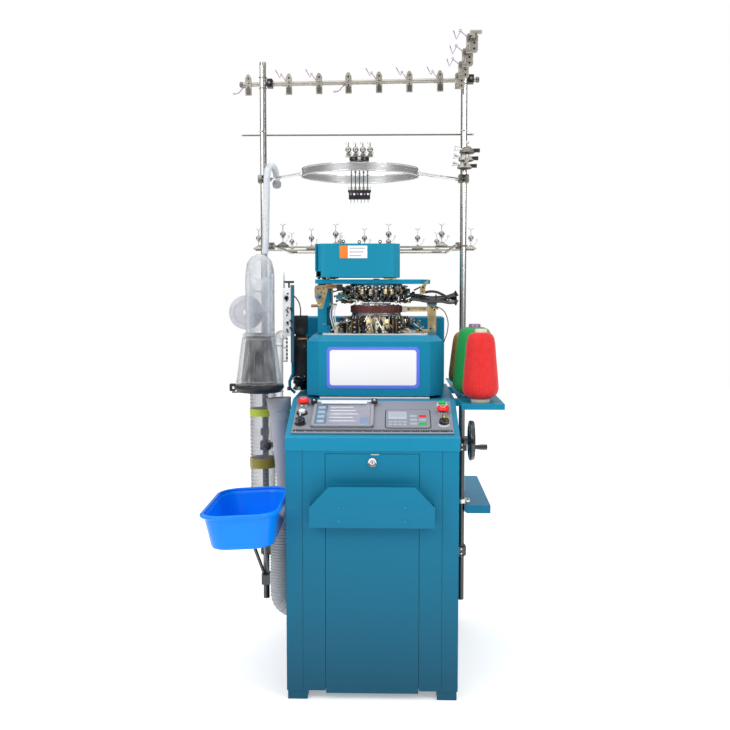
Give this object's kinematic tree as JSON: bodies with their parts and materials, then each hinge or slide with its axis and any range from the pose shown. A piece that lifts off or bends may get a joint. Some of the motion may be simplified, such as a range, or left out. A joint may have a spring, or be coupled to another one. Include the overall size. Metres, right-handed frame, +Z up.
{
  "type": "circular knitting machine",
  "caption": "Single-cylinder circular knitting machine for socks: needle head on a cabinet with a control console, yarn creel on posts, and a pneumatic sock take-off into a basin.",
  "frame": {"origin": "the middle of the machine's footprint, on the floor", "axes": "+Z up, -Y towards the operator and the control console, +X to the side with the handwheel and the yarn cones"},
  "size_m": [0.9167, 1.301, 2.022],
  "materials": {
    "teal_paint": "semi-gloss enamel",
    "plain_steel": "brushed",
    "bright_chrome": "polished",
    "cream_steel": "satin",
    "gold_zinc": "yellow zinc plating, satin",
    "brown_ring": "satin",
    "black_plastic": "matte",
    "black_gloss": "glossy",
    "grey_panel": "satin",
    "white_plastic": "semi-gloss",
    "white_steel": "semi-gloss",
    "red_plastic": "glossy",
    "green_plastic": "glossy",
    "red_yarn": "wound yarn",
    "green_yarn": "wound yarn",
    "orange_yarn": "wound yarn",
    "blue_plastic": "glossy",
    "clear_plastic": "clear",
    "dark_mesh": "satin mesh",
    "grey_hose": "matte"
  },
  "bodies": {
    "machine": {"air_tubes": "black_plastic", "bed_housing": "teal_paint", "bed_plate": "white_steel", "cabinet_body": "teal_paint", "cam_ring": "gold_zinc", "cone_plate": "teal_paint", "console_housing": "teal_paint", "crossbar": "cream_steel", "drive_motor": "black_plastic", "finger_carrier": "plain_steel", "gear_ring": "brown_ring", "guide_ring": "plain_steel", "guide_rod": "plain_steel", "head_pillar": "teal_paint", "hopper_base": "black_plastic", "hopper_cover": "clear_plastic", "left_bracket": "gold_zinc", "left_post": "plain_steel", "lint_hose": "white_plastic", "lower_shelf": "teal_paint", "mesh_cone": "dark_mesh", "rear_cabinet": "teal_paint", "rear_creel": "cream_steel", "right_bracket": "gold_zinc", "right_post": "plain_steel", "ring_tension": "plain_steel", "selector_units": "black_plastic", "side_arm": "cream_steel", "side_tension": "cream_steel", "sinker_ring": "bright_chrome", "suction_hose": "grey_hose", "take_off_tube": "clear_plastic", "u_duct": "clear_plastic", "upper_plate": "teal_paint", "valve_unit": "white_plastic"},
    "door": {"front_door": "teal_paint"},
    "lock": {"door_lock": "bright_chrome"},
    "panel": {"console_panel": "grey_panel", "display": "black_plastic"},
    "flap": {"display_flap": "clear_plastic"},
    "left_stop": {"left_stop_button": "red_plastic"},
    "right_stop": {"right_stop_button": "red_plastic"},
    "reset": {"reset_button": "white_plastic"},
    "start": {"start_button": "green_plastic"},
    "selector": {"selector_knob": "black_plastic"},
    "mode": {"mode_selector": "black_plastic"},
    "cylinder": {"needle_cylinder": "plain_steel"},
    "dial_plate": {"dial": "plain_steel"},
    "wheel": {"handwheel": "black_gloss"},
    "grip": {"handle_grip": "black_gloss"},
    "pulley": {"motor_pulley": "black_plastic"},
    "cover": {"top_cover": "teal_paint"},
    "finger_1": {"yarn_finger_1": "bright_chrome"},
    "finger_2": {"yarn_finger_2": "bright_chrome"},
    "finger_3": {"yarn_finger_3": "bright_chrome"},
    "trap": {"trap_flap": "black_plastic"},
    "laundry_basin": {"basin": "blue_plastic"},
    "cone_red": {"red_cone": "red_yarn"},
    "cone_green": {"green_cone": "green_yarn"},
    "cone_orange": {"orange_cone": "orange_yarn"}
  },
  "joints": [
    {"name": "door_hinge", "type": "hinge", "parent": "machine", "child": "door", "pos_m": [0.04742, -0.51046, 0.02], "axis": [1, 0, 0], "range_deg": [0, 60]},
    {"name": "lock_turn", "type": "hinge", "parent": "door", "child": "lock", "pos_m": [0.04742, -0.51476, 0.731], "axis": [0, 1, 0], "range_deg": [-90, 0]},
    {"name": "panel_hinge", "type": "hinge", "parent": "machine", "child": "panel", "pos_m": [0.04742, -0.49278, 0.8171], "axis": [1, 0, 0], "range_deg": [0, 60]},
    {"name": "flap_hinge", "type": "hinge", "parent": "panel", "child": "flap", "pos_m": [-0.04558, -0.29873, 0.89242], "axis": [-1, 0, 0], "range_deg": [0, 100]},
    {"name": "left_stop_push", "type": "slide", "parent": "panel", "child": "left_stop", "axis": [0, 0.3253, -0.9456], "range_m": [0, 0.004]},
    {"name": "right_stop_push", "type": "slide", "parent": "panel", "child": "right_stop", "axis": [0, 0.3253, -0.9456], "range_m": [0, 0.004]},
    {"name": "reset_push", "type": "slide", "parent": "panel", "child": "reset", "axis": [0, 0.3253, -0.9456], "range_m": [0, 0.003], "stiffness_N_per_m": 500, "springref_m": -0.002},
    {"name": "start_push", "type": "slide", "parent": "panel", "child": "start", "axis": [0, 0.3253, -0.9456], "range_m": [0, 0.003], "stiffness_N_per_m": 500, "springref_m": -0.002},
    {"name": "selector_turn", "type": "hinge", "parent": "panel", "child": "selector", "pos_m": [-0.17508, -0.43409, 0.83708], "axis": [0, -0.3253, 0.9456], "range_deg": [-45, 45]},
    {"name": "mode_turn", "type": "hinge", "parent": "panel", "child": "mode", "pos_m": [0.26492, -0.43788, 0.83578], "axis": [0, -0.3253, 0.9456], "range_deg": [-45, 45]},
    {"name": "cylinder_spin", "type": "hinge", "parent": "machine", "child": "cylinder", "pos_m": [0.05242, -0.07046, 1.1508], "axis": [0, 0, 1], "continuous": true},
    {"name": "dial_spin", "type": "hinge", "parent": "machine", "child": "dial_plate", "pos_m": [0.05242, -0.07046, 0], "axis": [0, 0, 1], "continuous": true},
    {"name": "wheel_spin", "type": "hinge", "parent": "machine", "child": "wheel", "pos_m": [0.35342, -0.39046, 0.78], "axis": [1, 0, 0], "continuous": true},
    {"name": "grip_spin", "type": "hinge", "parent": "wheel", "child": "grip", "pos_m": [0.37842, -0.43326, 0.76609], "axis": [1, 0, 0], "continuous": true},
    {"name": "pulley_spin", "type": "hinge", "parent": "machine", "child": "pulley", "pos_m": [-0.21033, -0.02046, 0], "axis": [0, 0, 1], "continuous": true},
    {"name": "cover_lift", "type": "slide", "parent": "machine", "child": "cover", "axis": [0, 0, 1], "range_m": [0, 0.1]},
    {"name": "finger_1_swing", "type": "hinge", "parent": "machine", "child": "finger_1", "pos_m": [0.00228, -0.13021, 1.2417], "axis": [0.766, -0.6428, 0], "range_deg": [0, 15], "stiffness_Nm_per_rad": 0.2, "springref_deg": -11.46},
    {"name": "finger_2_swing", "type": "hinge", "parent": "machine", "child": "finger_2", "pos_m": [0.05242, -0.14846, 1.2417], "axis": [1, 0, 0], "range_deg": [0, 15], "stiffness_Nm_per_rad": 0.2, "springref_deg": -11.46},
    {"name": "finger_3_swing", "type": "hinge", "parent": "machine", "child": "finger_3", "pos_m": [0.10256, -0.13021, 1.2417], "axis": [0.766, 0.6428, 0], "range_deg": [0, 15], "stiffness_Nm_per_rad": 0.2, "springref_deg": -11.46},
    {"name": "trap_hinge", "type": "hinge", "parent": "machine", "child": "trap", "pos_m": [-0.41658, -0.21046, 0.9102], "axis": [0, 1, 0], "range_deg": [0, 80], "stiffness_Nm_per_rad": 0.2, "springref_deg": -22.92},
    {"name": "basin_lift", "type": "slide", "parent": "machine", "child": "laundry_basin", "axis": [0, 0, 1], "range_m": [0, 0.12]},
    {"name": "red_cone_lift", "type": "slide", "parent": "machine", "child": "cone_red", "axis": [0, 0, 1], "range_m": [0, 0.2]},
    {"name": "green_cone_lift", "type": "slide", "parent": "machine", "child": "cone_green", "axis": [0, 0, 1], "range_m": [0, 0.2]},
    {"name": "orange_cone_lift", "type": "slide", "parent": "machine", "child": "cone_orange", "axis": [0, 0, 1], "range_m": [0, 0.2]}
  ],
  "couplings": [
    {"joint": "dial_spin", "follows": "cylinder_spin", "ratio": 1},
    {"joint": "wheel_spin", "follows": "cylinder_spin", "ratio": 1},
    {"joint": "pulley_spin", "follows": "cylinder_spin", "ratio": 3}
  ]
}
